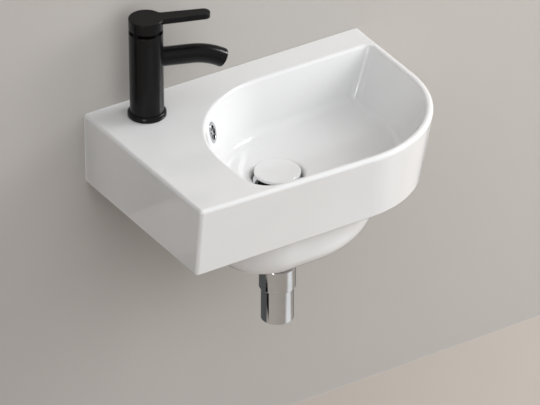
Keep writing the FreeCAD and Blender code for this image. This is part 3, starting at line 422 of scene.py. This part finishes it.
def sinteredAlumina():
    # pressed, fired and lapped alumina: ivory, hard and silky, with a fine speckle
    material, tree, place = newMaterial("sinteredAlumina")
    grain = addNode(tree, "ShaderNodeTexNoise", {
        "Vector": place, "Scale": perMm(alumina["grainMm"]), "Detail": 4,
    })
    colour = addNode(tree, "ShaderNodeMix", {
        0: grain.outputs["Fac"], 6: linear(alumina["colour"]), 7: linear(alumina["speck"]),
    }, data_type="RGBA")
    gloss = addNode(tree, "ShaderNodeMapRange", {
        "Value": grain.outputs["Fac"], "To Min": alumina["roughness"][0],
        "To Max": alumina["roughness"][1],
    })
    bump = addNode(tree, "ShaderNodeBump", {
        "Height": grain.outputs["Fac"], "Distance": alumina["grainDepthMm"] * mm,
    })
    finishMaterial(tree, {
        "Base Color": colour.outputs[2], "Roughness": gloss.outputs[0], "IOR": alumina["ior"],
        "Normal": bump.outputs["Normal"],
    })
    return material


finishes = {
    "white_glaze": glazedVitreousChina(),
    "black_coat": satinBlackCoat(),
    "bright_chrome": polishedChromePlate(),
    "black_rubber": mouldedRubber(),
    "white_plastic": mouldedAcetal("mouldedWhiteAcetal"),
    "grey_plastic": mouldedAcetal("mouldedGreyAcetal"),
    "black_plastic": mouldedAcetal("mouldedBlackAcetal"),
    "turned_brass": turnedBrass(),
    "plain_steel": zincPlatedSteel(),
    "fired_ceramic": sinteredAlumina(),
}
nodeFinishes = {
    "white_glaze": ["basin", "plug_cap"],
    "black_coat": ["tap_body", "spout", "base_ring", "lever_handle", "aerator_housing",
                   "screw_plug", "cartridge_nut"],
    "bright_chrome": ["waste_body", "coupling_collar", "tailpiece", "overflow_ring"],
    "black_rubber": ["flange_seal", "lower_seal", "tail_seal", "plug_seal", "base_gasket",
                     "horseshoe_gasket", "cartridge_seals", "aerator_washer"],
    "white_plastic": ["wall_bushes", "friction_washer", "cartridge_housing", "disc_carrier",
                      "click_housing"],
    "grey_plastic": ["aerator_insert"],
    "black_plastic": ["cartridge_turret"],
    "turned_brass": ["backnut", "cap_holder"],
    "plain_steel": ["mounting_stud", "horseshoe_plate", "stud_nut", "pivot_pin", "cartridge_stem",
                    "handle_screw", "click_spring", "click_plunger"],
    "fired_ceramic": ["fixed_disc", "moving_disc"],
}
for finish, names in nodeFinishes.items():
    for name in names:
        mesh = nodes[name].data
        mesh.materials.clear()
        mesh.materials.append(finishes[finish])
print("materials on", sum(len(names) for names in nodeFinishes.values()), "nodes")


# screw threads

threadForm = {"lift": 1.35, "flank": 3.4}  # a flat crest, sloped flanks and a flat root


def threadMesh(name, size, axisX, axisY):
    # a grid round the axis whose radius follows the thread's slope, run out to the root
    # at both ends
    low, high, pitch = size["low"], size["high"], size["pitch"]
    rows = round((high - low) / pitch * size["rowsPerPitch"])
    sides = size["sides"]
    mesh = bmesh.new()

    def ring(radiusAt, height):
        made = []
        for j in range(sides):
            angle = 2 * math.pi * j / sides
            radius = radiusAt(angle, height)
            made.append(mesh.verts.new(((axisX + radius * math.cos(angle)) * mm,
                                        (axisY + radius * math.sin(angle)) * mm, height * mm)))
        return made

    def slope(angle, height):
        turn = (height / pitch - angle / (2 * math.pi)) % 1
        rise = min(1, max(0, threadForm["lift"] - abs(turn - 0.5) * threadForm["flank"]))
        runOut = min(1, (height - low) / pitch, (high - height) / pitch)
        return size["root"] + (size["crest"] - size["root"]) * rise * max(0, runOut)

    def bridge(one, two):
        for j in range(sides):
            mesh.faces.new((one[j], one[(j + 1) % sides], two[(j + 1) % sides], two[j]))

    rings = [ring(slope, low + (high - low) * i / rows) for i in range(rows + 1)]
    for one, two in zip(rings, rings[1:]):
        bridge(one, two)
    if size["core"]:
        inner = [ring(lambda angle, height: size["core"], height) for height in (low, high)]
        bridge(inner[1], inner[0])
        bridge(rings[-1], inner[1])
        bridge(inner[0], rings[0])
    else:
        mesh.faces.new(rings[-1])
        mesh.faces.new(rings[0][::-1])
    return pieceFrom(mesh, name)


drainAxis = (-15, -153)  # in mm, as in the CAD
studLow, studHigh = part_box("mounting_stud")
studAxis = ((studLow[0] + studHigh[0]) / 2 / mm, (studLow[1] + studHigh[1]) / 2 / mm)
studThread = {
    "low": studLow[2] / mm,
    "high": studHigh[2] / mm,
    "pitch": 1.25,
    "root": 3.35,
    "crest": 3.98,
    "rowsPerPitch": 8,
    "sides": 40,
    "core": 0,
}
barrelThread = {
    "low": -152.8,
    "high": -132,
    "pitch": 2.309,
    "root": 20.98,
    "crest": 21.7,
    "rowsPerPitch": 10,
    "sides": 120,
    "core": 20.6,
}
threadedStud = threadMesh("threadedStud", studThread, *studAxis)
threadedStud.data.materials.append(finishes["plain_steel"])
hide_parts("mounting_stud")
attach(threadedStud, "basin_set")
wasteThread = threadMesh("wasteBarrelThread", barrelThread, *drainAxis)
wasteThread.data.materials.append(finishes["bright_chrome"])
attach(wasteThread, "basin_set")
print("threads cut")


# spring under the plug

plugSpring = {
    "turns": 6,
    "wireMm": 1,
    "stepsPerTurn": 28,
    "sides": 12,
    "pressMm": 7,
}


def springMesh(name, size, low, high):
    # round wire wound at a steady pitch between these two corners, with closed ends
    wire = size["wireMm"] / 2 * mm
    centreX, centreY = (low[0] + high[0]) / 2, (low[1] + high[1]) / 2
    radius = (high[0] - low[0]) / 2 - wire
    rise = high[2] - low[2] - 2 * wire
    climb = rise / (2 * math.pi * size["turns"])  # for each radian
    steps = size["turns"] * size["stepsPerTurn"]
    sides = size["sides"]
    mesh = bmesh.new()
    rings = []
    for i in range(steps + 1):
        angle = 2 * math.pi * i / size["stepsPerTurn"]
        outward = Vector((math.cos(angle), math.sin(angle), 0))
        along = Vector((-math.sin(angle) * radius, math.cos(angle) * radius, climb))
        across = along.normalized().cross(outward)
        centre = Vector((centreX, centreY, low[2] + wire + rise * i / steps)) + outward * radius
        ring = []
        for j in range(sides):
            turn = 2 * math.pi * j / sides
            offset = outward * math.cos(turn) + across * math.sin(turn)
            ring.append(mesh.verts.new(centre + offset * wire))
        rings.append(ring)
    for one, two in zip(rings, rings[1:]):
        for j in range(sides):
            k = (j + 1) % sides
            mesh.faces.new((one[j], one[k], two[k], two[j]))
    for face in mesh.faces:
        face.smooth = True
    mesh.faces.new(rings[0])  # the cut ends stay flat
    mesh.faces.new(rings[-1])
    return pieceFrom(mesh, name)


springLow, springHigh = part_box("click_spring")
woundSpring = springMesh("woundSpring", plugSpring, springLow, springHigh)
woundSpring.data.materials.append(finishes["plain_steel"])
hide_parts("click_spring")
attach(woundSpring, "basin_set")
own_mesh(woundSpring)
print("spring wound")


# stage

stage = {
    "wall": "#c2beb9",
    "floor": "#c4bcb4",
    "roughness": 0.9,
    "mottleMm": 400,
    "mottle": 0.03,
    "floorMm": -505,
    "wallMm": 0.5,
    "clearMm": 6,
    "wideM": 9,
    "highM": 6,
    "deepM": 9,
}


def mattPaint(name, hexText):
    # rolled matt paint on plaster: dry and even, seen from its painted side only; it lets light
    # through to what lies against it, so that the part's back shows in a view from behind
    material, tree, place = newMaterial(name)
    mottle = addNode(tree, "ShaderNodeTexNoise", {
        "Vector": place, "Scale": perMm(stage["mottleMm"]), "Detail": 4,
    })
    tone = linear(hexText)
    shade = [channel * (1 - stage["mottle"]) for channel in tone[:3]] + [1]
    colour = addNode(tree, "ShaderNodeMix", {
        0: mottle.outputs["Fac"], 6: tone, 7: shade,
    }, data_type="RGBA")
    paint = addNode(tree, "ShaderNodeBsdfDiffuse", {
        "Color": colour.outputs[2], "Roughness": stage["roughness"],
    })
    clear = addNode(tree, "ShaderNodeBsdfTransparent")
    side = addNode(tree, "ShaderNodeNewGeometry")
    path = addNode(tree, "ShaderNodeLightPath")
    near = addNode(tree, "ShaderNodeMath", {
        0: path.outputs["Ray Length"], 1: stage["clearMm"] * mm,
    }, operation="LESS_THAN")
    unseen = addNode(tree, "ShaderNodeMath", {
        0: side.outputs["Backfacing"], 1: near.outputs[0],
    }, operation="MAXIMUM")
    both = addNode(tree, "ShaderNodeMixShader", {
        0: unseen.outputs[0], 1: paint.outputs["BSDF"], 2: clear.outputs["BSDF"],
    })
    addNode(tree, "ShaderNodeOutputMaterial", {"Surface": both.outputs["Shader"]})
    return material


def stagePlane(name, corners, material):
    data = bpy.data.meshes.new(name)
    data.from_pydata(corners, [], [range(len(corners))])
    data.materials.append(material)
    plane = bpy.data.objects.new(name, data)
    bpy.context.collection.objects.link(plane)
    return plane


left, right = -stage["wideM"] / 2, stage["wideM"] / 2
wallY, wallTop = stage["wallMm"] * mm, stage["highM"]
floorZ, floorFront = stage["floorMm"] * mm, -stage["deepM"]
wallCorners = [(left, wallY, floorZ), (right, wallY, floorZ), (right, wallY, wallTop),
               (left, wallY, wallTop)]
floorCorners = [(left, floorFront, floorZ), (right, floorFront, floorZ), (right, wallY, floorZ),
                (left, wallY, floorZ)]
stagePlane("paintedWall", wallCorners, mattPaint("mattWallPaint", stage["wall"]))
stagePlane("paleFloor", floorCorners, mattPaint("mattFloorPaint", stage["floor"]))
print("stage set")


# light

middle = Vector((0, -0.15, -0.02))  # where the lamps point
# azimuth, elevation, distance in metres, side in metres and watts
lamps = {
    "softBox": (76, 23, 2.6, 1.3, 43),
    "highBox": (60, 33, 2.6, 1.3, 17),
    "frontFill": (5, 15, 2, 2, 14),
    "overheadPanel": (-30, 58, 2, 2, 9),
}
# cards that only reflections show, as a studio sets round glossy things: centre in mm, the way
# it faces as azimuth and elevation, width and height in mm, tone, strength and the share of the
# width that fades out
cards = {
    "windowStrip": ((1707, -451, 1334), (80, 38), (300, 900), "#ffffff", 50, 0.3),
    "frontStrip": ((-136, -1700, 1536), (-5, 45), (1200, 300), "#ffffff", 1.2, 0.5),
    "floorGlow": ((388, -468, -498), (52, 89), (520, 500), "#ffffff", 1, 0.7),
    "leftShade": ((-260, -4, -350), (0, 0), (520, 300), "#5c5c5c", 1, 0.1),
    "leftDark": ((-505, -72, -499), (0, 89), (130, 140), "#0b0b0b", 1, 0.5),
    "rightShade": ((300, -4, -350), (0, 0), (540, 300), "#7a7a7a", 1, 0.4),
    "tapShade": ((-420, -4, 40), (0, 0), (380, 300), "#202020", 1, 0.4),
    "cornerStrip": ((-892, -743, 250), (-56.6, 10), (170, 660), "#ffffff", 15, 0.4),
}
air = {
    "ambient": "#f8fbff",
    "ambientStrength": 0.48,
    "background": "#b8b6b5",
}


def towards(azimuth, elevation):
    # from the part to a place seen at these angles, azimuth 0 being the front
    a, e = math.radians(azimuth), math.radians(elevation)
    return Vector((math.sin(a) * math.cos(e), -math.cos(a) * math.cos(e), math.sin(e)))


for lampName, (azimuth, elevation, away, side, watts) in lamps.items():
    lamp = bpy.data.lights.new(lampName, "AREA")
    lamp.size = side
    lamp.energy = watts
    lampObject = bpy.data.objects.new(lampName, lamp)
    direction = towards(azimuth, elevation)
    lampObject.location = middle + direction * away
    lampObject.rotation_euler = direction.to_track_quat("Z", "Y").to_euler()
    lampObject.visible_glossy = False  # the cards below give the highlights instead
    bpy.context.collection.objects.link(lampObject)


def reflectionCard(name, centre, facing, size, hexText, strength, fade):
    # a glowing plane whose left and right sides fade out
    halfWide, halfHigh = (side / 2 * mm for side in size)
    material, tree, place = newMaterial(name + "Card")
    split = addNode(tree, "ShaderNodeSeparateXYZ", {"Vector": place})
    sideways = addNode(tree, "ShaderNodeMath", {0: split.outputs["X"]}, operation="ABSOLUTE")
    edge = addNode(tree, "ShaderNodeMapRange", {
        "Value": sideways.outputs[0], "From Min": halfWide * (1 - fade), "From Max": halfWide,
    }, interpolation_type="SMOOTHSTEP")
    glow = addNode(tree, "ShaderNodeEmission", {"Color": linear(hexText), "Strength": strength})
    clear = addNode(tree, "ShaderNodeBsdfTransparent")
    both = addNode(tree, "ShaderNodeMixShader", {
        0: edge.outputs[0], 1: glow.outputs["Emission"], 2: clear.outputs["BSDF"],
    })
    addNode(tree, "ShaderNodeOutputMaterial", {"Surface": both.outputs["Shader"]})
    corners = [(-halfWide, -halfHigh, 0), (halfWide, -halfHigh, 0), (halfWide, halfHigh, 0),
               (-halfWide, halfHigh, 0)]
    card = stagePlane(name, corners, material)
    card.location = Vector(centre) * mm
    card.rotation_euler = towards(*facing).to_track_quat("Z", "Y").to_euler()
    card.visible_camera = False
    card.visible_diffuse = False
    card.visible_shadow = False
    card.visible_transmission = False


for cardName, cardSize in cards.items():
    reflectionCard(cardName, *cardSize)

world = bpy.data.worlds.new("paleRoom")
world.use_nodes = True
bpy.context.scene.world = world
room = world.node_tree
room.nodes.clear()
path = addNode(room, "ShaderNodeLightPath")
seen = addNode(room, "ShaderNodeMath", {
    0: path.outputs["Is Camera Ray"], 1: path.outputs["Is Glossy Ray"],
}, operation="MAXIMUM")
seenThrough = addNode(room, "ShaderNodeMath", {
    0: seen.outputs[0], 1: path.outputs["Is Transmission Ray"],
}, operation="MAXIMUM")
ambient = addNode(room, "ShaderNodeBackground", {
    "Color": linear(air["ambient"]), "Strength": air["ambientStrength"],
})
backdrop = addNode(room, "ShaderNodeBackground", {"Color": linear(air["background"])})
sky = addNode(room, "ShaderNodeMixShader", {
    0: seenThrough.outputs[0], 1: ambient.outputs["Background"], 2: backdrop.outputs["Background"],
})
addNode(room, "ShaderNodeOutputWorld", {"Surface": sky.outputs["Shader"]})
bpy.context.scene.view_settings.view_transform = "Standard"
print("lights on")


# camera

viewpoint = {
    "lensMm": 300,
    "sensorMm": 36,
    "azimuth": -32.6,
    "elevation": 31.59,
    "eyeMm": (-2675.25, -4295.33, 2968.08),
}
cameraData = bpy.data.cameras.new("photoView")
cameraData.lens = viewpoint["lensMm"]
cameraData.sensor_width = viewpoint["sensorMm"]
camera = bpy.data.objects.new("photoView", cameraData)
camera.location = Vector(viewpoint["eyeMm"]) * mm
camera.rotation_euler = (math.radians(90 - viewpoint["elevation"]), 0,
                         math.radians(viewpoint["azimuth"]))
bpy.context.collection.objects.link(camera)
bpy.context.scene.camera = camera
print("camera placed")
